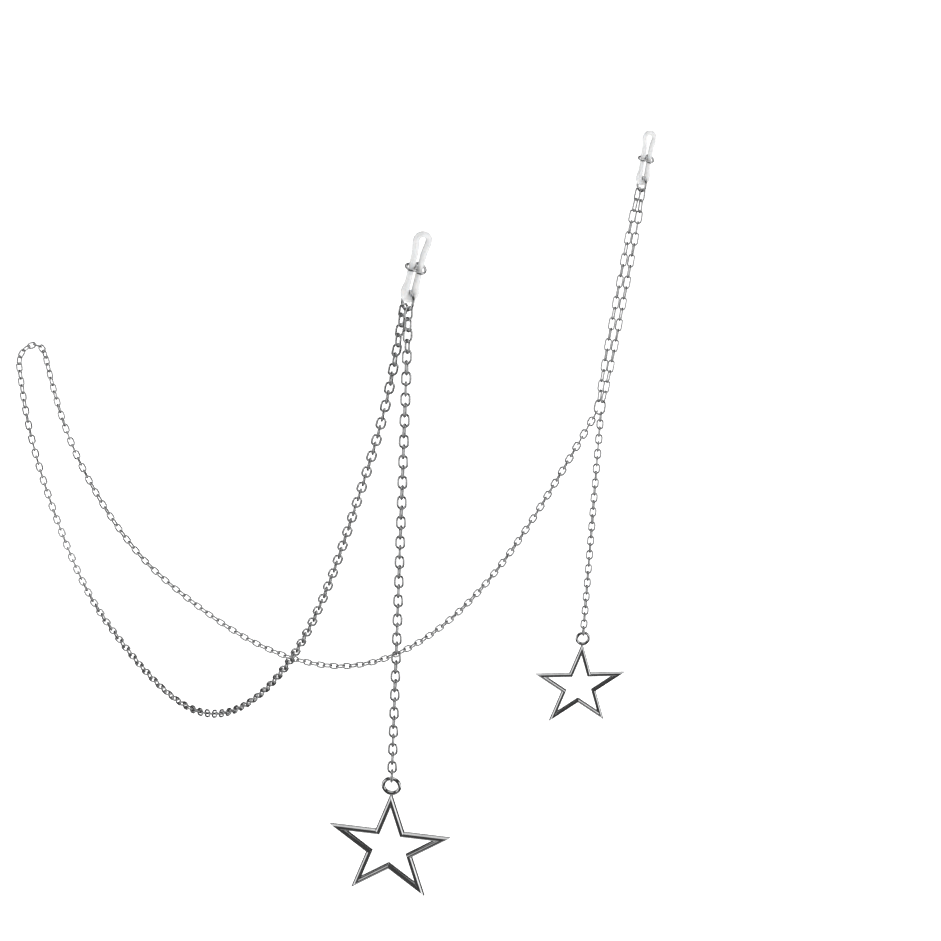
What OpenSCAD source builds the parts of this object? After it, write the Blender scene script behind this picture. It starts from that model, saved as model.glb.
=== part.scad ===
// Eyeglasses chain strap: a fine cable chain that hangs from the two temples
// of a pair of glasses and runs round the back of the neck. Each end has a
// silicone loop for the temple, a wire slider, a jump ring and a short drop
// chain that carries an open star pendant.
//
// Origin: the centre of the neck bend. +Z up, -Y towards the glasses,
// +X from the near end towards the far end.

/* [Chain] */
// thickness of the chain wire
wire = 0.5; // [0.4:0.01:0.54]
// width of one chain link
link_w = 2.3; // [2.1:0.05:2.8]
// length of one chain link
link_l = 3.38; // [2.9:0.02:3.6]
// links in the near side strand
near_links = 143; // [131:2:151]
// links in the far side strand
far_links = 122; // [112:2:132]
// links in the bend behind the neck
neck_links = 7; // [5:2:9]
// links in the near drop chain
near_drop_links = 48; // [40:2:56]
// links in the far drop chain
far_drop_links = 31; // [25:2:39]

/* [Doubled section] */
// links in each of the two longer-linked strands under the far ring
pair_links = 20; // [16:2:24]
// wire of those links
pair_wire = 0.44; // [0.36:0.01:0.5]
// width of those links
pair_w = 2.15; // [2:0.05:2.8]
// length of those links
pair_l = 4.12; // [3.4:0.02:4.6]
// distance between the two strands along most of their length
pair_gap = 2.1; // [1.7:0.1:3.5]
// wire of the oval ring that joins them to the fine chains
join_wire = 0.55; // [0.5:0.05:0.7]
// width of the joining ring
join_w = 3.6; // [3.4:0.1:4.2]
// length of the joining ring
join_l = 5.0; // [4.6:0.1:6]

/* [Jump ring] */
// outside diameter of the jump ring
ring_od = 4.6; // [4.4:0.1:5.2]
// wire of the jump ring
ring_wire = 0.65; // [0.55:0.05:0.8]

/* [Silicone loop] */
// thickness of the silicone cord
cord = 1.35; // [1.2:0.05:1.6]
// radius of the hole that grips the temple
eye_r = 0.75; // [0.6:0.05:1]
// radius of the flat land inside that hole
grip_r = 0.8; // [0.65:0.05:1.05]
// radius of the hole for the jump ring
lobe_r = 0.6; // [0.5:0.05:0.8]
// height of the temple hole above the bottom of the jump ring
eye_h = 14.9; // [13:0.1:17]
// height of the slider above the bottom of the jump ring
slider_h = 9.1; // [8:0.1:10]
// wire of the slider
slider_wire = 0.55; // [0.5:0.05:0.7]
// how far the near loop leans over
near_lean = 11.5; // [0:0.5:15]
// how far the far loop leans over
far_lean = 5; // [0:0.5:15]

/* [Star] */
// radius of the star's points
star_r = 15; // [12:0.1:18]
// width of the star's bars
bar_w = 1.3; // [1:0.02:1.6]
// height of the ridge above the edge of the bar
ridge = 0.7; // [0.4:0.05:1]
// thickness below the edge
back = 0.45; // [0.3:0.05:0.8]
// outside diameter of the eye
eye_od = 4.7; // [4:0.1:5]
// wire of the eye
eye_wire = 0.9; // [0.7:0.05:1.2]

/* [Hidden] */

slack = 0.04;
pitch = link_l - 2 * wire - slack;
ring_r = (ring_od - ring_wire) / 2;
join_r = (join_w - join_wire) / 2;

// bottom of each jump ring, bottom of the joining ring, ends of the bend
near_pt = [-114, -190.5, 75];
far_pt = [30.7, -189.9, 75];
join_pt = [30, -183, 8];
bend_r = 5.2;
bend_az = -15;
near_neck = bend_r * [-cos(bend_az), -sin(bend_az), 0];
far_neck = -near_neck;

near_az = 60.3;   // heading of the near strand
far_az = 97.8;    // heading of the far strand
// headings across each loop, and across the hole each ring hangs in
near_grip_az = -46;
far_grip_az = -50;
near_ring_az = -30;
far_ring_az = -36;
lean_az = -66;
near_star_az = -73;
far_star_az = -57;

silver = [0.78, 0.79, 0.8];
dark_silver = [0.45, 0.46, 0.47];
milky = [0.93, 0.93, 0.92, 0.8];

// ---- vectors and curves
function unit(v) = v / norm(v);
function dir(a) = [cos(a), sin(a), 0];
function bs(p, i, t) = (pow(1 - t, 3) * p[i]
  + (3 * t * t * t - 6 * t * t + 4) * p[i + 1]
  + (-3 * t * t * t + 3 * t * t + 3 * t + 1) * p[i + 2]
  + t * t * t * p[i + 3]) / 6;
function spline(c, m = 8) = let (e = c[len(c) - 1],
  q = concat([c[0], c[0]], c, [e, e]))
  concat([for (i = [0 : len(q) - 4], j = [0 : m - 1]) bs(q, i, j / m)], [e]);
function run(p) = [for (i = 0, s = 0; i < len(p);
  s = s + (i + 1 < len(p) ? norm(p[i + 1] - p[i]) : 0), i = i + 1) s];
// n + 1 points spaced evenly along a curve
function along(p, n) = let (c = run(p), l = c[len(c) - 1],
  tx = [for (i = [0 : len(p) - 1]) [c[i], p[i][0]]],
  ty = [for (i = [0 : len(p) - 1]) [c[i], p[i][1]]],
  tz = [for (i = [0 : len(p) - 1]) [c[i], p[i][2]]])
  [for (k = [0 : n]) let (s = l * k / n)
    [lookup(s, tx), lookup(s, ty), lookup(s, tz)]];
function blend(a, b, k, n) = a + (b - a) * (k <= 0 ? 0 : k >= n ? 1
  : (1 - cos(180 * k / n)) / 2);

// ---- where the chains start: on the wire of a ring, to one side of its
// lowest point
function on_ring(low, axis, across, rc, gap, a) =
  low + axis * (rc - (rc - gap) * cos(a)) + across * (rc - gap) * sin(a);

// both loops lean over the same way; a leaning ring lies along up and over
function up(a) = dir(lean_az) * sin(a) + [0, 0, cos(a)];
function over(a, az) = let (d = az - lean_az)
  dir(lean_az + 90) * cos(d) - cross(dir(lean_az + 90), up(a)) * sin(d);
function square(v, t) = unit(v - t * (v * t));
near_up = up(near_lean);
far_up = up(far_lean);
ring_gap = ring_wire / 2 + slack;
// how far from the bottom of the ring each chain hooks on
side = 36;
near_over = over(near_lean, near_ring_az);
near_start = on_ring(near_pt, near_up, near_over, ring_r, ring_gap, side);
near_drop_start = on_ring(near_pt, near_up, near_over, ring_r, ring_gap,
  -side);
far_over = over(far_lean, far_ring_az);
pair_a = on_ring(far_pt, far_up, far_over, ring_r, ring_gap, 34);
pair_b = on_ring(far_pt, far_up, far_over, ring_r, ring_gap, -34);
pair_dir = unit(far_pt - join_pt);
join_gap = join_wire / 2 + slack;
join_top = join_pt + pair_dir * (join_l - join_wire);
join_over = square(dir(far_az), pair_dir);
pair_a1 = on_ring(join_top, -pair_dir, join_over, join_r, join_gap, 28);
pair_b1 = on_ring(join_top, -pair_dir, join_over, join_r, join_gap, -28);
far_start = on_ring(join_pt, pair_dir, join_over, join_r, join_gap, 32);
far_drop_start = on_ring(join_pt, pair_dir, join_over, join_r, join_gap, -32);

// ---- strand routes: distance towards the neck, height
function hang(a, b, pts) = let (e = unit([b[0] - a[0], b[1] - a[1], 0]))
  concat([a], [for (p = pts) a + e * p[0] + [0, 0, p[1]]], [b]);
near_route = spline(hang(near_start, near_neck, [[5, -25], [18, -54],
  [30, -82], [54, -117], [98, -150], [156, -142], [179, -134], [214, -102]]));
far_route = spline(hang(far_start, far_neck, [[13, -29], [27, -57],
  [47, -84], [75, -103], [108, -100], [137, -84], [155, -71], [176, -39]]));
bend_route = [for (a = [0 : 6 : 180]) near_neck * cos(a)
  + [0, 0, bend_r * sin(a)]];

near_joints = along(near_route, near_links);
far_joints = along(far_route, far_links);
bend_joints = along(bend_route, neck_links);

// the two strands soon come to an even distance from their middle line
pair_top = (pair_a + pair_b) / 2;
pair_end = (pair_a1 + pair_b1) / 2;
function pair_route(a, b, s) = [for (i = [0 : 40])
  let (t = i / 40, w = pow(2 * t - 1, 4))
  pair_top + (pair_end - pair_top) * t
  + ((a - pair_top) * (1 - t) + (b - pair_end) * t) * w
  - dir(lean_az) * s * pair_gap / 2 * (1 - w)];
pair_a_joints = along(pair_route(pair_a, pair_a1, 1), pair_links);
pair_b_joints = along(pair_route(pair_b, pair_b1, -1), pair_links);

near_drop_joints = [for (k = [0 : near_drop_links]) near_drop_start
  - [0, 0, pitch * k]];
far_drop_joints = [for (k = [0 : far_drop_links]) far_drop_start
  - [0, 0, pitch * k]];

// heading of the flat face of each link's base direction
function near_roll(k) = blend(near_ring_az, lean_az, k, 12)
  + blend(0, -15 - lean_az, k - near_links + 20, 20);
function far_roll(k) = blend(far_az - 90, 24, k, 8)
  + blend(0, 75 - 24, k - far_links + 24, 24);
function near_drop_roll(k) = blend(near_ring_az, near_star_az, k, 10);
function far_drop_roll(k) = blend(far_az - 90, far_star_az + 90, k, 10);
function pair_roll(k) = blend(far_ring_az, -90, k, 4)
  + blend(0, -12, k - pair_links + 5, 5);

// ---- pieces
module half_ring(r, w) {
  rotate_extrude(angle = 180, $fn = 24) translate([r, 0]) circle(d = w,
    $fn = 16);
}

// oval link standing along Z, its flat side across X
module link(w, wd, ln) {
  r = (wd - w) / 2;
  b = (ln - wd) / 2;
  translate([0, 0, b]) rotate([90, 0, 0]) half_ring(r, w);
  translate([0, 0, -b]) rotate([-90, 0, 0]) half_ring(r, w);
  for (s = [-1, 1]) translate([s * r, 0, -b]) cylinder(d = w, h = 2 * b,
    $fn = 16);
}

module place(p, q, az, turn) {
  t = unit(q - p);
  h = dir(az);
  x0 = unit(h - t * (h * t));
  y0 = cross(t, x0);
  x = turn ? y0 : x0;
  y = cross(t, x);
  m = (p + q) / 2;
  multmatrix([[x[0], y[0], t[0], m[0]], [x[1], y[1], t[1], m[1]],
    [x[2], y[2], t[2], m[2]], [0, 0, 0, 1]]) children();
}

module ring(od, w) {
  rotate_extrude($fn = 48) translate([(od - w) / 2, 0]) circle(d = w,
    $fn = 20);
}

// frame of one end: Z along the leaning loop, X across it
module at_end(p, az, lean) {
  translate(p) rotate([0, 0, lean_az]) rotate([0, lean, 0])
    rotate([0, 0, az - lean_az]) children();
}

module arc(r, a0, a1, w) {
  rotate([90, 0, 0]) rotate([0, 0, a0]) rotate_extrude(angle = a1 - a0,
    $fn = 48) translate([r, 0]) circle(d = w, $fn = 20);
}

leg_x = 1.075;
bow = 4;
eye_c = eye_r + cord / 2;
lobe_c = lobe_r + cord / 2;
eye_drop = sqrt(pow(eye_c + bow, 2) - pow(leg_x + bow, 2));
lobe_drop = sqrt(pow(lobe_c + bow, 2) - pow(leg_x + bow, 2));
eye_turn = asin(eye_drop / (eye_c + bow));
lobe_turn = asin(lobe_drop / (lobe_c + bow));
lobe_h = 2 * ring_r - ring_wire / 2 - slack + lobe_r;

// the two ends are bent cord; each piece runs a little way into the next
module silicone_loop() {
  leg_top = eye_h - eye_drop;
  leg_low = lobe_h + lobe_drop;
  thin = cord - 0.02;
  difference() {
    translate([0, 0, eye_h]) arc(eye_c, -eye_turn - 2, 182 + eye_turn, cord);
    // flat land that grips the temple
    translate([0, 0, eye_h]) rotate([90, 0, 0])
      cylinder(r = grip_r, h = 3, center = true, $fn = 48);
  }
  translate([0, 0, lobe_h]) arc(lobe_c, 178 - lobe_turn, 362 + lobe_turn,
    cord);
  for (s = [0, 180]) rotate([0, 0, s]) {
    translate([leg_x + bow, 0, leg_top]) arc(bow, 180 - eye_turn, 180, thin);
    translate([leg_x + bow, 0, leg_low]) arc(bow, 180, 180 + lobe_turn, thin);
    translate([leg_x, 0, leg_low - 0.06]) cylinder(d = cord,
      h = leg_top - leg_low + 0.12, $fn = 20);
  }
  // thick tip under the ring
  translate([0, 0, lobe_h - lobe_c - 0.35]) sphere(d = 2.0, $fn = 32);
}

module slider() {
  r = cord / 2 + 0.045 + slider_wire / 2;
  for (s = [-1, 1]) translate([s * leg_x, 0, slider_h])
    ring(2 * r + slider_wire, slider_wire);
}

module jump_ring() {
  translate([0, 0, ring_r]) rotate([0, 90, 0]) ring(ring_od, ring_wire);
}

module chain(j, a, b, roll, w, wd, ln) {
  for (k = [a : b - 1]) place(j[k], j[k + 1], roll[k], k % 2 == 1)
    link(w, wd, ln);
}

near_rolls = [for (k = [0 : near_links]) near_roll(k)];
far_rolls = [for (k = [0 : far_links]) far_roll(k)];
near_drop_rolls = [for (k = [0 : near_drop_links]) near_drop_roll(k)];
far_drop_rolls = [for (k = [0 : far_drop_links]) far_drop_roll(k)];
pair_rolls = [for (k = [0 : pair_links]) pair_roll(k)];
bend_rolls = [for (k = [0 : neck_links]) bend_az + 90];

function cut(n, parts, i) = round(n * i / parts);
module near_strand(i) {
  color(silver) chain(near_joints, cut(near_links, 6, i - 1),
    cut(near_links, 6, i), near_rolls, wire, link_w, link_l);
}
module far_strand(i) {
  color(silver) chain(far_joints, cut(far_links, 5, i - 1),
    cut(far_links, 5, i), far_rolls, wire, link_w, link_l);
}
module near_drop(i) {
  color(silver) chain(near_drop_joints, cut(near_drop_links, 5, i - 1),
    cut(near_drop_links, 5, i), near_drop_rolls, wire, link_w, link_l);
}
module far_drop(i) {
  color(silver) chain(far_drop_joints, cut(far_drop_links, 4, i - 1),
    cut(far_drop_links, 4, i), far_drop_rolls, wire, link_w, link_l);
}
module pair(j) {
  color(silver) chain(j, 0, pair_links, pair_rolls, pair_wire,
    pair_w, pair_l);
}

// ---- star pendant, hung from the joint point at its eye
star_c = star_r - bar_w / 2 / sin(18);
star_in = star_c * sin(18) / sin(54);
eye_rc = (eye_od - eye_wire) / 2;
eye_up = star_r + eye_rc - 0.22;
hang_up = eye_up + eye_rc - eye_wire / 2 - slack / 2;

// distance from the middle of the star to the middle line of each bar
star_h = star_c * star_in * sin(36) / norm([star_in * sin(36),
  star_c - star_in * cos(36)]);
// section of a bar: distance outward from its middle line, height
section = [[-bar_w / 2, -back], [bar_w / 2, -back], [bar_w / 2, 0],
  [0, ridge], [-bar_w / 2, 0]];

// the ten bars are mitred into each other at the points and inner corners
module bars() {
  n = len(section);
  polyhedron(
    points = [for (k = [0 : 9], p = section)
      let (r = (k % 2 == 0 ? star_c : star_in) * (star_h + p[0]) / star_h)
      [r * sin(36 * k), r * cos(36 * k), p[1]]],
    faces = [for (k = [0 : 9], i = [0 : n - 1])
      [k * n + i, (k + 1) % 10 * n + i, (k + 1) % 10 * n + (i + 1) % n,
        k * n + (i + 1) % n]]);
}

module star() {
  bars();
  translate([0, eye_up, 0]) ring(eye_od, eye_wire);
}

// face of the star turned to the given heading
module pendant(low, az) {
  translate(low - [0, 0, hang_up]) rotate([0, 0, az]) rotate([90, 0, 0])
    color(dark_silver) star();
}

module near_silicone_loop() {
  color(milky) at_end(near_pt, near_grip_az, near_lean) silicone_loop();
}
module near_slider() {
  color(silver) at_end(near_pt, near_grip_az, near_lean) slider();
}
module near_jump_ring() {
  color(silver) at_end(near_pt, near_ring_az, near_lean) jump_ring();
}
module far_silicone_loop() {
  color(milky) at_end(far_pt, far_grip_az, far_lean) silicone_loop();
}
module far_slider() {
  color(silver) at_end(far_pt, far_grip_az, far_lean) slider();
}
module far_jump_ring() {
  color(silver) at_end(far_pt, far_ring_az, far_lean) jump_ring();
}
module far_join_ring() {
  color(silver) place(join_pt, join_top, far_az, false)
    link(join_wire, join_w, join_l);
}
module neck_bend() {
  color(silver) chain(bend_joints, 0, neck_links, bend_rolls, wire, link_w,
    link_l);
}

near_silicone_loop();
near_slider();
near_jump_ring();
near_strand(1);  // near_strand_1
near_strand(2);  // near_strand_2
near_strand(3);  // near_strand_3
near_strand(4);  // near_strand_4
near_strand(5);  // near_strand_5
near_strand(6);  // near_strand_6
near_drop(1);  // near_drop_1
near_drop(2);  // near_drop_2
near_drop(3);  // near_drop_3
near_drop(4);  // near_drop_4
near_drop(5);  // near_drop_5
pendant(near_drop_joints[near_drop_links], near_star_az);  // near_star
neck_bend();
far_silicone_loop();
far_slider();
far_jump_ring();
pair(pair_a_joints);  // far_pair_left
pair(pair_b_joints);  // far_pair_right
far_join_ring();
far_strand(1);  // far_strand_1
far_strand(2);  // far_strand_2
far_strand(3);  // far_strand_3
far_strand(4);  // far_strand_4
far_strand(5);  // far_strand_5
far_drop(1);  // far_drop_1
far_drop(2);  // far_drop_2
far_drop(3);  // far_drop_3
far_drop(4);  // far_drop_4
pendant(far_drop_joints[far_drop_links], far_star_az);  // far_star
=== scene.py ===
import bpy
import bmesh
import math
import numpy as np
from mathutils import Vector, Matrix


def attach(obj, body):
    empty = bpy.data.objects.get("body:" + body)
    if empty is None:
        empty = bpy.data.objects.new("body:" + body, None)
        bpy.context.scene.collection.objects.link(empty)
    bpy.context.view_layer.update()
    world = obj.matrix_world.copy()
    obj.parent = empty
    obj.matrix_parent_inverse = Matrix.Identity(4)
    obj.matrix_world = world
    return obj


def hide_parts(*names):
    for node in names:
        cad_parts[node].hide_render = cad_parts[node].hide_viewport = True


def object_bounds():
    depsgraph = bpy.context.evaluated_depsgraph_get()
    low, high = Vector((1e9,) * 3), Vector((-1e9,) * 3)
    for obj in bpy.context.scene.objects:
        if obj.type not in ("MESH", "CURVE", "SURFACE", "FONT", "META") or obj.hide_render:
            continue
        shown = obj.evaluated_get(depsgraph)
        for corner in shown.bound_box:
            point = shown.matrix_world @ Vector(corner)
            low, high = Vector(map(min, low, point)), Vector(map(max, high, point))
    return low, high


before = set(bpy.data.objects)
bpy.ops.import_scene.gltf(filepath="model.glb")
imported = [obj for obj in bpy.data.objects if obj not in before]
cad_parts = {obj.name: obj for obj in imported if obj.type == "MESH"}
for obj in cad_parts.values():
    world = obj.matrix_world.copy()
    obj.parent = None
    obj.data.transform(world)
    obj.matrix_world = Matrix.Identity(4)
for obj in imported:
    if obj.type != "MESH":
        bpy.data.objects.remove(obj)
CAD_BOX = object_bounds()
scene = bpy.context.scene
MM = 0.001


# ------------------------------------------------------------------ geometry
def dsin(a):
    return math.sin(math.radians(a))


def dcos(a):
    return math.cos(math.radians(a))


def vec(*a):
    return np.array(a, float)


def unit(v):
    v = np.array(v, float)
    return v / np.linalg.norm(v)


def heading(a):
    return vec(dcos(a), dsin(a), 0)


# sizes in millimetres, as the part has them
WIRE, LINK_W, LINK_L = 0.5, 2.3, 3.38
NEAR_LINKS, FAR_LINKS, NECK_LINKS = 143, 122, 7
NEAR_DROP, FAR_DROP = 48, 31
PAIR_LINKS, PAIR_WIRE, PAIR_W, PAIR_L, PAIR_GAP = 20, 0.44, 2.15, 4.12, 2.1
JOIN_WIRE, JOIN_W, JOIN_L = 0.55, 3.6, 5.0
RING_OD, RING_WIRE = 4.6, 0.65
NEAR_LEAN, FAR_LEAN = 11.5, 5
EYE_H, SLIDER_H = 14.9, 9.1
STAR_R, BAR_W, RIDGE, BACK, EYE_OD, EYE_WIRE = 15.0, 1.3, 0.7, 0.45, 4.7, 0.9
SLACK = 0.04
PITCH = LINK_L - 2 * WIRE - SLACK
RING_R = (RING_OD - RING_WIRE) / 2
JOIN_R = (JOIN_W - JOIN_WIRE) / 2
NEAR_PT, FAR_PT, JOIN_PT = vec(-114, -190.5, 75), vec(30.7, -189.9, 75), vec(30, -183, 8)
BEND_R, BEND_AZ = 5.2, -15
NEAR_NECK = -BEND_R * heading(BEND_AZ)
FAR_NECK = -NEAR_NECK
NEAR_AZ, FAR_AZ = 60.3, 97.8
NEAR_GRIP_AZ, FAR_GRIP_AZ, NEAR_RING_AZ, FAR_RING_AZ = -46, -50, -30, -36
LEAN_AZ, NEAR_STAR_AZ, FAR_STAR_AZ = -66, -73, -57


def spline(c, m=8):
    c = [np.array(x, float) for x in c]
    q = [c[0], c[0]] + c + [c[-1], c[-1]]
    out = []
    for i in range(len(q) - 3):
        for j in range(m):
            t = j / m
            out.append(((1 - t) ** 3 * q[i] + (3 * t**3 - 6 * t * t + 4) * q[i + 1] + (-3 * t**3 + 3 * t * t + 3 * t + 1) * q[i + 2] + t**3 * q[i + 3]) / 6)
    out.append(c[-1])
    return np.array(out)


def along(p, n):
    run = np.concatenate([[0], np.cumsum(np.linalg.norm(np.diff(p, axis=0), axis=1))])
    s = np.linspace(0, run[-1], n + 1)
    return np.stack([np.interp(s, run, p[:, k]) for k in range(3)], 1)


def blend(a, b, k, n):
    return a + (b - a) * (0 if k <= 0 else 1 if k >= n else (1 - dcos(180 * k / n)) / 2)


def on_ring(low, axis, across, rc, gap, a):
    return low + axis * (rc - (rc - gap) * dcos(a)) + across * (rc - gap) * dsin(a)


def leaning(a):
    return heading(LEAN_AZ) * dsin(a) + vec(0, 0, dcos(a))


def over(a, az):
    d = az - LEAN_AZ
    y = heading(LEAN_AZ + 90)
    return y * dcos(d) - np.cross(y, leaning(a)) * dsin(d)


def square(v, t):
    return unit(v - t * (v @ t))


near_up, far_up = leaning(NEAR_LEAN), leaning(FAR_LEAN)
ring_gap, join_gap = RING_WIRE / 2 + SLACK, JOIN_WIRE / 2 + SLACK
near_over, far_over = over(NEAR_LEAN, NEAR_RING_AZ), over(FAR_LEAN, FAR_RING_AZ)
near_start = on_ring(NEAR_PT, near_up, near_over, RING_R, ring_gap, 36)
near_drop_start = on_ring(NEAR_PT, near_up, near_over, RING_R, ring_gap, -36)
pair_a = on_ring(FAR_PT, far_up, far_over, RING_R, ring_gap, 34)
pair_b = on_ring(FAR_PT, far_up, far_over, RING_R, ring_gap, -34)
pair_dir = unit(FAR_PT - JOIN_PT)
join_top = JOIN_PT + pair_dir * (JOIN_L - JOIN_WIRE)
join_over = square(heading(FAR_AZ), pair_dir)
pair_a1 = on_ring(join_top, -pair_dir, join_over, JOIN_R, join_gap, 28)
pair_b1 = on_ring(join_top, -pair_dir, join_over, JOIN_R, join_gap, -28)
far_start = on_ring(JOIN_PT, pair_dir, join_over, JOIN_R, join_gap, 32)
far_drop_start = on_ring(JOIN_PT, pair_dir, join_over, JOIN_R, join_gap, -32)


def hang(a, b, pts):
    e = unit([b[0] - a[0], b[1] - a[1], 0])
    return [a] + [a + e * p[0] + vec(0, 0, p[1]) for p in pts] + [b]


near_j = along(spline(hang(near_start, NEAR_NECK, [[5, -25], [18, -54], [30, -82], [54, -117], [98, -150], [156, -142], [179, -134], [214, -102]])), NEAR_LINKS)
far_j = along(spline(hang(far_start, FAR_NECK, [[13, -29], [27, -57], [47, -84], [75, -103], [108, -100], [137, -84], [155, -71], [176, -39]])), FAR_LINKS)
bend_j = along(np.array([NEAR_NECK * dcos(a) + vec(0, 0, BEND_R * dsin(a)) for a in range(0, 181, 6)]), NECK_LINKS)
pair_top, pair_end = (pair_a + pair_b) / 2, (pair_a1 + pair_b1) / 2


def pair_route(a, b, s):
    out = []
    for i in range(41):
        t = i / 40
        w = (2 * t - 1) ** 4
        out.append(pair_top + (pair_end - pair_top) * t + ((a - pair_top) * (1 - t) + (b - pair_end) * t) * w - heading(LEAN_AZ) * s * PAIR_GAP / 2 * (1 - w))
    return np.array(out)


pa_j = along(pair_route(pair_a, pair_a1, 1), PAIR_LINKS)
pb_j = along(pair_route(pair_b, pair_b1, -1), PAIR_LINKS)
nd_j = np.array([near_drop_start - vec(0, 0, PITCH * k) for k in range(NEAR_DROP + 1)])
fd_j = np.array([far_drop_start - vec(0, 0, PITCH * k) for k in range(FAR_DROP + 1)])


def near_roll(k):
    return blend(NEAR_RING_AZ, LEAN_AZ, k, 12) + blend(0, -15 - LEAN_AZ, k - NEAR_LINKS + 20, 20)


def far_roll(k):
    return blend(FAR_AZ - 90, 24, k, 8) + blend(0, 75 - 24, k - FAR_LINKS + 24, 24)


def near_drop_roll(k):
    return blend(NEAR_RING_AZ, NEAR_STAR_AZ, k, 10)


def far_drop_roll(k):
    return blend(FAR_AZ - 90, FAR_STAR_AZ + 90, k, 10)


def pair_roll(k):
    return blend(FAR_RING_AZ, -90, k, 4) + blend(0, -12, k - PAIR_LINKS + 5, 5)


def cut(n, parts, i):
    return int(math.floor(n * i / parts + 0.5))


def place(p, q, az, turn, tilt=0.0):
    t = unit(q - p)
    h = heading(az)
    x0 = unit(h - t * (h @ t))
    y0 = np.cross(t, x0)
    x = y0 if turn else x0
    y = np.cross(t, x)
    c, s = dcos(tilt), dsin(tilt)
    return np.array([x * c + y * s, y * c - x * s, t]).T, (p + q) / 2


def rot_z(a):
    return np.array([[dcos(a), -dsin(a), 0], [dsin(a), dcos(a), 0], [0, 0, 1]])


def rot_y(a):
    return np.array([[dcos(a), 0, dsin(a)], [0, 1, 0], [-dsin(a), 0, dcos(a)]])


def end_axes(az, lean):
    return rot_z(LEAN_AZ) @ rot_y(lean) @ rot_z(az - LEAN_AZ)


# --------------------------------------------------------------- mesh making
def tube(path, radius, ref, sides, closed=True, phase=0.0, tone=0.5):
    """A round wire along a path; ref is a direction that never runs along it.
    Open ends get a small chamfer and a flat cap."""
    p = np.array(path, float)
    n = len(p)
    r = np.broadcast_to(np.array(radius, float), (n,)).copy()
    if not closed:
        t0, t1 = unit(p[1] - p[0]), unit(p[-1] - p[-2])
        p = np.vstack([p[0], p[0] + t0 * r[0] * 0.16, p[1:-1], p[-1] - t1 * r[-1] * 0.16, p[-1]])
        r = np.concatenate([[r[0] * 0.84], [r[0]], r[1:-1], [r[-1]], [r[-1] * 0.84]])
        n = len(p)
    if closed:
        tan = np.roll(p, -1, 0) - np.roll(p, 1, 0)
    else:
        tan = np.gradient(p, axis=0)
    tan /= np.linalg.norm(tan, axis=1)[:, None]
    ref = np.broadcast_to(np.array(ref, float), (n, 3))
    a = np.cross(tan, ref)
    a /= np.linalg.norm(a, axis=1)[:, None]
    b = np.cross(a, tan)
    f = 2 * math.pi * np.arange(sides) / sides + phase
    v = p[:, None, :] + r[:, None, None] * (np.cos(f)[None, :, None] * a[:, None, :] + np.sin(f)[None, :, None] * b[:, None, :])
    verts = v.reshape(-1, 3)
    faces = []
    for i in range(n if closed else n - 1):
        i2 = (i + 1) % n
        for k in range(sides):
            k2 = (k + 1) % sides
            faces.append((i * sides + k, i * sides + k2, i2 * sides + k2, i2 * sides + k))
    if not closed:
        faces.append(tuple(range(sides - 1, -1, -1)))
        faces.append(tuple((n - 1) * sides + k for k in range(sides)))
    return verts, faces


def oval_path(wire, width, length, arc=10, leg=4):
    """Centre line of an oval link standing along Z and lying in XZ. Its long
    sides run straight between the two round ends."""
    r, b = (width - wire) / 2, (length - width) / 2
    pts = []
    for i in range(arc + 1):
        a = 180 * i / arc
        pts.append((r * dcos(a), 0, b + r * dsin(a)))
    for i in range(1, leg):
        pts.append((-r, 0, b - 2 * b * i / leg))
    for i in range(arc + 1):
        a = 180 + 180 * i / arc
        pts.append((r * dcos(a), 0, -b + r * dsin(a)))
    for i in range(1, leg):
        pts.append((r, 0, -b + 2 * b * i / leg))
    return np.array(pts)


def oval(wire, width, length, sides=10):
    p = oval_path(wire, width, length)
    # the soldered seam is a slight swelling half way along one side
    swell = np.exp(-(((p[:, 2] / 0.16) ** 2))) * (p[:, 0] > 0)
    return tube(p, wire / 2 * (1 + 0.09 * swell), (0, 1, 0), sides)


def hashed(k, salt):
    x = math.sin(k * 12.9898 + salt * 78.233) * 43758.5453
    return x - math.floor(x)


def build(name, parts, material, tones=None, smooth=True):
    """One mesh from several (verts in mm, faces) parts; tone is each piece's
    own shade."""
    verts, faces, tone, base = [], [], [], 0
    for i, (v, f) in enumerate(parts):
        verts.append(np.array(v) * MM)
        faces += [tuple(base + k for k in q) for q in f]
        tone += [0.5 if tones is None else tones[i]] * len(v)
        base += len(v)
    verts = np.vstack(verts)
    mesh = bpy.data.meshes.new(name)
    mesh.from_pydata([tuple(v) for v in verts], [], faces)
    mesh.update()
    mesh.polygons.foreach_set("use_smooth", [smooth] * len(mesh.polygons))
    at = mesh.attributes.new("tone", "FLOAT", "POINT")
    at.data.foreach_set("value", tone)
    mesh.materials.append(material)
    ob = bpy.data.objects.new(name, mesh)
    scene.collection.objects.link(ob)
    return ob


def chain(name, joints, a, b, roll, size, material, salt):
    v0, f0 = oval(*size)
    parts, tones = [], []
    for k in range(a, b):
        R, c = place(joints[k], joints[k + 1], roll(k), k % 2 == 1, (hashed(k, salt) - 0.5) * 9)
        parts.append((v0 @ R.T + c, f0))
        tones.append(hashed(k, salt + 5))
    return build(name, parts, material, tones)


# ----------------------------------------------------------------- materials
def nodes_of(name):
    m = bpy.data.materials.new(name)
    m.use_nodes = True
    nt = m.node_tree
    return m, nt, nt.nodes["Principled BSDF"]


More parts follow.
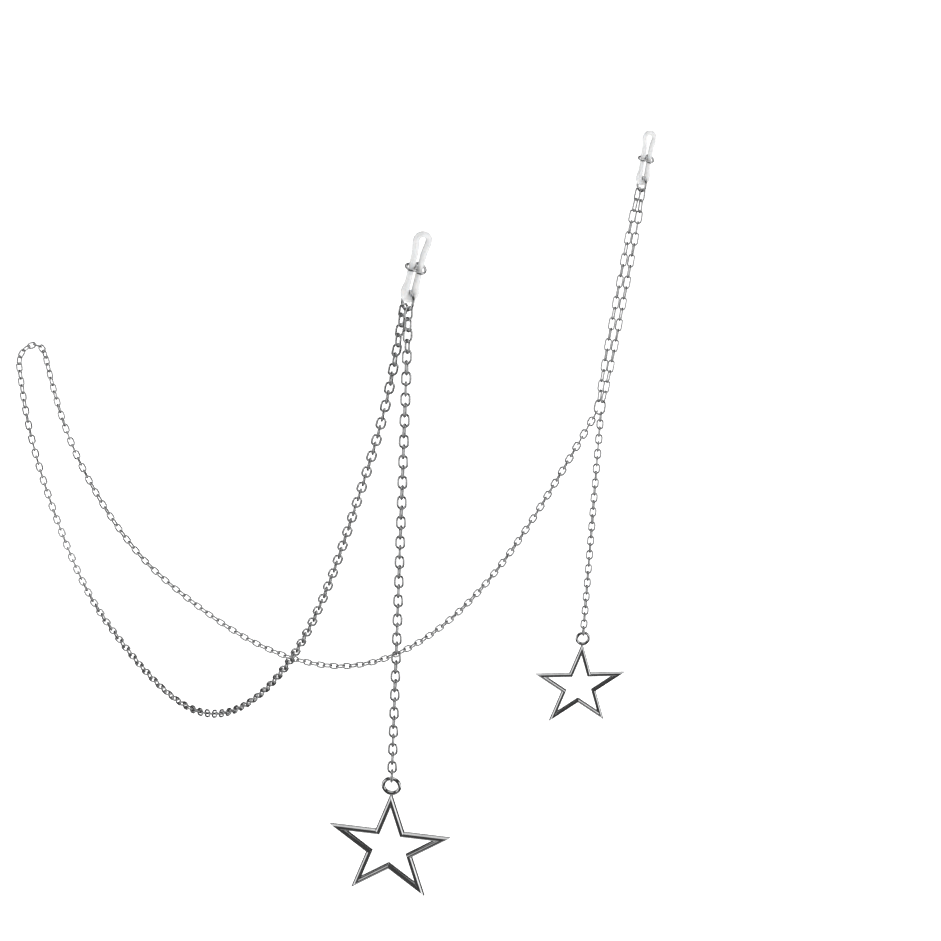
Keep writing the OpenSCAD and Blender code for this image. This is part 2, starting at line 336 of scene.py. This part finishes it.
def noise(nt, scale, detail=3.0, rough=0.5, stretch=None):
    tc = nt.nodes.new("ShaderNodeTexCoord")
    tex = nt.nodes.new("ShaderNodeTexNoise")
    tex.inputs["Scale"].default_value = scale
    tex.inputs["Detail"].default_value = detail
    tex.inputs["Roughness"].default_value = rough
    if stretch:
        mp = nt.nodes.new("ShaderNodeMapping")
        mp.inputs["Scale"].default_value = stretch
        nt.links.new(tc.outputs["Object"], mp.inputs["Vector"])
        nt.links.new(mp.outputs["Vector"], tex.inputs["Vector"])
    else:
        nt.links.new(tc.outputs["Object"], tex.inputs["Vector"])
    return tex.outputs["Fac"]


def span(nt, fac, lo, hi, a, b):
    mr = nt.nodes.new("ShaderNodeMapRange")
    mr.inputs["From Min"].default_value = lo
    mr.inputs["From Max"].default_value = hi
    mr.inputs["To Min"].default_value = a
    mr.inputs["To Max"].default_value = b
    nt.links.new(fac, mr.inputs["Value"])
    return mr.outputs["Result"]


def mix(nt, fac, a, b):
    mx = nt.nodes.new("ShaderNodeMix")
    mx.data_type = "RGBA"
    for sock, val in ((mx.inputs[6], a), (mx.inputs[7], b)):
        if isinstance(val, tuple):
            sock.default_value = (*val, 1)
        else:
            nt.links.new(val, sock)
    nt.links.new(fac, mx.inputs[0])
    return mx.outputs[2]


def bump(nt, bsdf, layers):
    last = None
    for height, strength, distance in layers:
        b = nt.nodes.new("ShaderNodeBump")
        b.inputs["Strength"].default_value = strength
        b.inputs["Distance"].default_value = distance
        nt.links.new(height, b.inputs["Height"])
        if last is not None:
            nt.links.new(last, b.inputs["Normal"])
        last = b.outputs["Normal"]
    nt.links.new(last, bsdf.inputs["Normal"])


def metal(name, bright, dull, rough, grain=1.0, tone_amount=0.5):
    """Plated metal: polish that wears dull in patches, faint drawing marks and
    a slightly different shade from piece to piece."""
    m, nt, b = nodes_of(name)
    b.inputs["Metallic"].default_value = 1.0
    at = nt.nodes.new("ShaderNodeAttribute")
    at.attribute_name = "tone"
    patches = span(nt, noise(nt, 420, 4, 0.55), 0.35, 0.68, 0, 1)
    worn = mix(nt, patches, bright, dull)
    darker = tuple(x * (1 - 0.30 * tone_amount) for x in bright)
    tone = span(nt, at.outputs["Fac"], 0, 1, 0, tone_amount)
    nt.links.new(mix(nt, tone, worn, darker), b.inputs["Base Color"])
    fine = noise(nt, 5200, 3, 0.6)
    nt.links.new(span(nt, noise(nt, 1500, 4, 0.6), 0.3, 0.7, rough[0], rough[1]), b.inputs["Roughness"])
    bump(nt, b, [(noise(nt, 900, 2, 0.5), 0.25 * grain, 0.00004), (fine, 0.22 * grain, 0.000012)])
    return m


def silicone_material(name):
    """Milky, slightly cloudy silicone with a soft moulded skin."""
    m, nt, b = nodes_of(name)
    cloud = span(nt, noise(nt, 380, 4, 0.55), 0.3, 0.7, 0, 1)
    nt.links.new(mix(nt, cloud, (0.76, 0.765, 0.77), (0.68, 0.685, 0.69)), b.inputs["Base Color"])
    b.inputs["IOR"].default_value = 1.41
    b.inputs["Transmission Weight"].default_value = 0.06
    b.inputs["Subsurface Weight"].default_value = 0.35
    b.inputs["Subsurface Radius"].default_value = (0.0012, 0.0011, 0.001)
    b.inputs["Subsurface Scale"].default_value = 1.0
    b.inputs["Coat Weight"].default_value = 0.15
    b.inputs["Coat Roughness"].default_value = 0.3
    nt.links.new(span(nt, noise(nt, 1300, 3, 0.5), 0.3, 0.7, 0.22, 0.42), b.inputs["Roughness"])
    bump(nt, b, [(noise(nt, 1100, 3, 0.5), 0.25, 0.00004), (noise(nt, 6000, 2, 0.5), 0.12, 0.00001)])
    return m


chain_mat = metal("silver_chain", (0.84, 0.845, 0.85), (0.66, 0.665, 0.67), (0.10, 0.26), 1.0, 0.6)
ring_mat = metal("silver_ring", (0.80, 0.805, 0.81), (0.60, 0.605, 0.61), (0.10, 0.24), 1.0, 0.3)
slider_mat = metal("silver_slider", (0.78, 0.785, 0.79), (0.58, 0.585, 0.59), (0.10, 0.24), 1.0, 0.3)
star_mat = metal("dark_star_metal", (0.80, 0.805, 0.81), (0.58, 0.585, 0.59), (0.04, 0.13), 0.7, 0.3)
silicone_mat = silicone_material("milky_silicone")

# ------------------------------------------------------------- camera, stage
right = vec(0.42407, -0.90437, 0.04782)
fwd = vec(0.85164, 0.38027, -0.36070)
up = np.cross(right, fwd)
cam_data = bpy.data.cameras.new("camera")
cam_data.sensor_width = 36
cam_data.lens = 1706.07 / 941 * 36
cam_data.clip_start, cam_data.clip_end = 0.01, 60
cam = bpy.data.objects.new("camera", cam_data)
cam.matrix_world = Matrix(((right[0], up[0], -fwd[0], -0.418601), (right[1], up[1], -fwd[1], -0.343063), (right[2], up[2], -fwd[2], 0.171776), (0, 0, 0, 1)))
scene.collection.objects.link(cam)
scene.camera = cam

floor_z = CAD_BOX[0].z - 0.16


def white_sheet(name, verts, faces, glow, smooth=False):
    """A staged sheet of pale paper that glows evenly, as a studio sweep lit
    from its own lamps looks, and is kept out of the metal's reflections."""
    me = bpy.data.meshes.new(name)
    me.from_pydata(verts, [], faces)
    me.polygons.foreach_set("use_smooth", [smooth] * len(me.polygons))
    ob = bpy.data.objects.new(name, me)
    scene.collection.objects.link(ob)
    m, nt, b = nodes_of(name + "_paper")
    nt.links.new(mix(nt, noise(nt, 3, 2, 0.5), (0.90, 0.90, 0.90), (0.93, 0.93, 0.93)), b.inputs["Base Color"])
    b.inputs["Roughness"].default_value = 0.9
    b.inputs["Specular IOR Level"].default_value = 0.1
    b.inputs["Emission Color"].default_value = (1, 1, 1, 1)
    b.inputs["Emission Strength"].default_value = glow
    me.materials.append(m)
    ob.visible_glossy = False
    return ob


white_sheet("floor", [(-14, -14, floor_z), (14, -14, floor_z), (14, 14, floor_z), (-14, 14, floor_z)], [(0, 1, 2, 3)], 1.0)
ring_n = 48
wall_v, wall_f = [], []
for z in (floor_z - 0.01, 16.0):
    for i in range(ring_n):
        wall_v.append((13 * math.cos(2 * math.pi * i / ring_n), 13 * math.sin(2 * math.pi * i / ring_n), z))
for i in range(ring_n):
    i2 = (i + 1) % ring_n
    wall_f.append((i, i2, ring_n + i2, ring_n + i))
wall_f.append(tuple(range(ring_n, 2 * ring_n)))
wall = white_sheet("backdrop", wall_v, wall_f, 1.05)
wall.visible_diffuse = False
wall.visible_shadow = False

# what the metal reflects: large soft boxes to both sides and overhead, with
# dark studio between and behind them
world = bpy.data.worlds.new("studio")
scene.world = world
world.use_nodes = True
wt = world.node_tree
bg = wt.nodes["Background"]
direction = wt.nodes.new("ShaderNodeTexCoord").outputs["Generated"]
CAM_AZ = 204.0
BASE = 0.06
# azimuth from the camera's side, elevation, full and fading half angles, level
BOXES = [(0, 90, 28, 44, 0.85), (62, -8, 20, 31, 1.35), (-62, -12, 20, 31, 1.05), (0, -70, 14, 28, 0.42), (180, 35, 10, 26, 0.28)]
total = None
for az, el, full, fade, level in BOXES:
    dot = wt.nodes.new("ShaderNodeVectorMath")
    dot.operation = "DOT_PRODUCT"
    wt.links.new(direction, dot.inputs[0])
    dot.inputs[1].default_value = (dcos(CAM_AZ + az) * dcos(el), dsin(CAM_AZ + az) * dcos(el), dsin(el))
    mr = wt.nodes.new("ShaderNodeMapRange")
    mr.interpolation_type = "SMOOTHSTEP"
    mr.inputs["From Min"].default_value = dcos(fade)
    mr.inputs["From Max"].default_value = dcos(full)
    mr.inputs["To Min"].default_value = 0
    mr.inputs["To Max"].default_value = level
    wt.links.new(dot.outputs["Value"], mr.inputs["Value"])
    add = wt.nodes.new("ShaderNodeMath")
    add.operation = "ADD"
    wt.links.new(mr.outputs["Result"], add.inputs[0])
    if total is None:
        add.inputs[1].default_value = BASE
    else:
        wt.links.new(total, add.inputs[1])
    total = add.outputs[0]
wt.links.new(total, bg.inputs["Color"])
bg.inputs["Strength"].default_value = 1.0


def area(name, loc, size, energy, glossy, target=(-0.03, -0.09, 0.0)):
    d = bpy.data.lights.new(name, "AREA")
    d.shape = "RECTANGLE"
    d.size, d.size_y = size
    d.energy = energy
    o = bpy.data.objects.new(name, d)
    o.location = loc
    o.rotation_mode = "QUATERNION"
    o.rotation_quaternion = (Vector(target) - Vector(loc)).to_track_quat("-Z", "Y")
    o.visible_glossy = glossy
    scene.collection.objects.link(o)


area("key_top", (-0.7, -0.7, 1.9), (1.8, 1.2), 15, False)
area("fill_left", (-1.3, 0.9, 0.9), (1.2, 1.2), 6, False)
area("fill_right", (0.4, -1.6, 0.8), (1.2, 1.2), 7, False)
scene.view_settings.view_transform = "Standard"
scene.view_settings.look = "None"
scene.view_settings.exposure = 0.0

# ------------------------------------------------------------ chains (cords)
FINE = (WIRE, LINK_W, LINK_L)
LONG = (PAIR_WIRE, PAIR_W, PAIR_L)


ob = chain("near_chain", near_j, 0, NEAR_LINKS, near_roll, FINE, chain_mat, 1)
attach(ob, "near_strand")
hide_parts(*["near_strand_%d" % i for i in range(1, 7)])

ob = chain("far_chain", far_j, 0, FAR_LINKS, far_roll, FINE, chain_mat, 2)
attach(ob, "far_strand")
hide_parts(*["far_strand_%d" % i for i in range(1, 6)])

for name, j, salt in (("far_pair_left", pa_j, 3), ("far_pair_right", pb_j, 4)):
    ob = chain(name + "_chain", j, 0, PAIR_LINKS, pair_roll, LONG, chain_mat, salt)
    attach(ob, "far_strand")
    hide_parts(name)

ob = chain("neck_bend_chain", bend_j, 0, NECK_LINKS, lambda k: BEND_AZ + 90, FINE, chain_mat, 6)
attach(ob, "support")
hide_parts("neck_bend")

for side, j, n, parts, roll, salt in (("near", nd_j, NEAR_DROP, 5, near_drop_roll, 7), ("far", fd_j, FAR_DROP, 4, far_drop_roll, 8)):
    for i in range(parts):
        node = "%s_drop_%d" % (side, i + 1)
        ob = chain(node + "_chain", j, cut(n, parts, i), cut(n, parts, i + 1), roll, FINE, chain_mat, salt)
        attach(ob, node)
        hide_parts(node)


# --------------------------------------------------------------------- rings
def split_ring(rc, wire, n=72, at=100.0, gap=0.05, offset=0.03):
    """A jump ring in YZ, lowest point at the origin, cut at an angle from its
    lowest point, with the cut ends a little out of line."""
    g = math.degrees(gap / rc) / 2
    pts = []
    for i in range(n):
        a = at + g + (360 - 2 * g) * i / (n - 1)
        shift = offset * (2 * i / (n - 1) - 1) ** 5
        pts.append((shift, rc * dsin(a), rc - rc * dcos(a)))
    return tube(pts, wire / 2, (1, 0, 0), 16, closed=False)


for side, pt, az, lean, body in (("near", NEAR_PT, NEAR_RING_AZ, NEAR_LEAN, "near_jump_ring"), ("far", FAR_PT, FAR_RING_AZ, FAR_LEAN, "far_jump_ring")):
    v, f = split_ring(RING_R, RING_WIRE)
    ob = build(side + "_split_ring", [(v @ end_axes(az, lean).T + pt, f)], ring_mat)
    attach(ob, body)
    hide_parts(side + "_jump_ring")


def open_oval(wire, width, length, gap=0.05):
    p = oval_path(wire, width, length, arc=14, leg=8)
    # start the wire half way up the right side
    k = int(np.argmin(np.abs(p[:, 2]) + 10 * (p[:, 0] < 0)))
    p = np.roll(p, -k, 0)
    end = p[0].copy()
    p[0] = end + (p[1] - end) / np.linalg.norm(p[1] - end) * gap / 2
    p = np.vstack([p, end - (end - p[-1]) / np.linalg.norm(end - p[-1]) * gap / 2])
    return tube(p, wire / 2, (0, 1, 0), 16, closed=False)


v, f = open_oval(JOIN_WIRE, JOIN_W, JOIN_L)
R, c = place(JOIN_PT, join_top, FAR_AZ, False)
ob = build("far_joining_ring", [(v @ R.T + c, f)], ring_mat)
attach(ob, "far_strand")
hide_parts("far_join_ring")

# ----------------------------------------------------------- silicone loops
# right half of the loop's centre line: x, z, radius of the cord there
HALF = [
    (0.00, 2.62, 1.06), (0.46, 2.72, 1.02), (0.84, 3.04, 0.98), (1.04, 3.52, 0.94), (1.10, 4.10, 0.91),
    (1.07, 4.70, 0.86), (1.01, 5.30, 0.78), (0.96, 5.90, 0.72), (0.935, 6.60, 0.70), (0.93, 7.40, 0.70),
    (0.94, 8.10, 0.68), (0.95, 8.70, 0.60), (0.955, 9.10, 0.57), (0.95, 9.50, 0.60), (0.935, 10.10, 0.68),
    (0.93, 10.80, 0.70), (0.94, 11.60, 0.71), (0.99, 12.40, 0.72), (1.11, 13.20, 0.73), (1.26, 14.00, 0.73),
    (1.36, 14.80, 0.72), (1.26, 15.50, 0.70), (0.92, 15.98, 0.69), (0.47, 16.25, 0.685), (0.00, 16.33, 0.68),
]


def smooth_loop(pts, m):
    """Closed curve through the points (Catmull-Rom)."""
    q = np.array(pts, float)
    n = len(q)
    out = []
    for i in range(n):
        a, b_, c_, d_ = q[i - 1], q[i], q[(i + 1) % n], q[(i + 2) % n]
        for j in range(m):
            t = j / m
            out.append(0.5 * (2 * b_ + (c_ - a) * t + (2 * a - 5 * b_ + 4 * c_ - d_) * t * t + (3 * b_ - a - 3 * c_ + d_) * t**3))
    return np.array(out)


def silicone_loop():
    full = [(x, z, r) for x, z, r in HALF] + [(-x, z, r) for x, z, r in HALF[-2:0:-1]]
    p = smooth_loop(full, 5)
    path = np.stack([p[:, 0], np.zeros(len(p)), p[:, 1]], 1)
    # soft cord is never quite straight
    path[:, 1] += 0.05 * np.sin(path[:, 2] * 0.9 + np.sign(path[:, 0]) * 0.8) * np.clip(np.abs(path[:, 0]) * 1.2, 0, 1)
    return tube(path, p[:, 2], (0, 1, 0), 22)


def slider_wire():
    """One bent wire: a loop round each leg, crossing over itself between them,
    tipped forward a little."""
    quarter = [(0.00, 0.00), (0.045, 0.42), (0.20, 0.83), (0.62, 1.03), (1.12, 1.05), (1.62, 0.86), (1.97, 0.50), (2.08, 0.0)]
    lobe = quarter + [(x, -y) for x, y in quarter[-2:0:-1]]
    # right lobe one way round, left lobe the other way
    pts = [(x, y) for x, y in lobe] + [(-x, y) for x, y in lobe]
    p = smooth_loop([(x, y, 0) for x, y in pts], 6)
    n = len(p)
    u = 2 * math.pi * np.arange(n) / n
    z = 0.31 * np.cos(u) + p[:, 1] * 0.50
    path = np.stack([p[:, 0], p[:, 1], z], 1)
    return tube(path, 0.285, (0, 0, 1), 16)


for side, pt, az, lean in (("near", NEAR_PT, NEAR_GRIP_AZ, NEAR_LEAN), ("far", FAR_PT, FAR_GRIP_AZ, FAR_LEAN)):
    R = end_axes(az, lean)
    v, f = silicone_loop()
    ob = build(side + "_silicone_grip", [(v @ R.T + pt, f)], silicone_mat)
    md = ob.modifiers.new("smooth", "SUBSURF")
    md.levels = md.render_levels = 1
    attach(ob, "support")
    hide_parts(side + "_silicone_loop")
    v, f = slider_wire()
    v = v + vec(0, 0, SLIDER_H)
    ob = build(side + "_wire_slider", [(v @ R.T + pt, f)], slider_mat)
    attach(ob, side + "_slider")
    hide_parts(side + "_slider")

# --------------------------------------------------------------------- stars
star_c = STAR_R - BAR_W / 2 / dsin(18)
star_in = star_c * dsin(18) / dsin(54)
eye_rc = (EYE_OD - EYE_WIRE) / 2
eye_up = STAR_R + eye_rc - 0.22
hang_up = eye_up + eye_rc - EYE_WIRE / 2 - SLACK / 2
star_h = star_c * star_in * dsin(36) / math.hypot(star_in * dsin(36), star_c - star_in * dcos(36))


def star_bars():
    """Ten mitred bars: flat back with eased edges, low sides, rounded face."""
    w = BAR_W / 2
    dome = [(w * dcos(a), RIDGE * dsin(a)) for a in range(0, 181, 15)]
    section = [(-w + 0.08, -BACK), (w - 0.08, -BACK), (w, -BACK + 0.08)] + dome + [(-w, -BACK + 0.08)]
    n = len(section)
    verts, faces = [], []
    for k in range(10):
        for p0, p1 in section:
            r = (star_c if k % 2 == 0 else star_in) * (star_h + p0) / star_h
            verts.append((r * dsin(36 * k), r * dcos(36 * k), p1))
    for k in range(10):
        for i in range(n):
            j, k2 = (i + 1) % n, (k + 1) % 10
            faces.append((k * n + i, k * n + j, k2 * n + j, k2 * n + i))
    return np.array(verts), faces


def eye_ring():
    pts = [(eye_rc * dsin(a), eye_up + eye_rc * dcos(a), 0) for a in range(0, 360, 6)]
    # the cast eye thickens where it runs into the star's point
    rad = [EYE_WIRE / 2 * (1 + 0.22 * max(0.0, -dcos(a)) ** 6) for a in range(0, 360, 6)]
    return tube(pts, rad, (0, 0, 1), 16)


for side, j, az in (("near", nd_j[-1], NEAR_STAR_AZ), ("far", fd_j[-1], FAR_STAR_AZ)):
    # star's own X across, Y up, Z out of its face
    R = rot_z(az) @ np.array([[1, 0, 0], [0, 0, -1], [0, 1, 0]], float)
    at = j - vec(0, 0, hang_up)
    v1, f1 = star_bars()
    ob = build(side + "_star_pendant", [(v1 @ R.T + at, f1)], star_mat, smooth=True)
    bev = ob.modifiers.new("edges", "BEVEL")
    bev.width = 0.00005
    bev.segments = 2
    bev.limit_method = "ANGLE"
    bev.angle_limit = math.radians(27)
    bev.harden_normals = False
    wn = ob.modifiers.new("normals", "WEIGHTED_NORMAL")
    wn.keep_sharp = True
    wn.weight = 60
    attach(ob, side + "_star")
    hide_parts(side + "_star")
    v2, f2 = eye_ring()
    ob = build(side + "_star_eye", [(v2 @ R.T + at, f2)], star_mat)
    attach(ob, side + "_star")
    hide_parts(side + "_star")

bpy.context.view_layer.update()
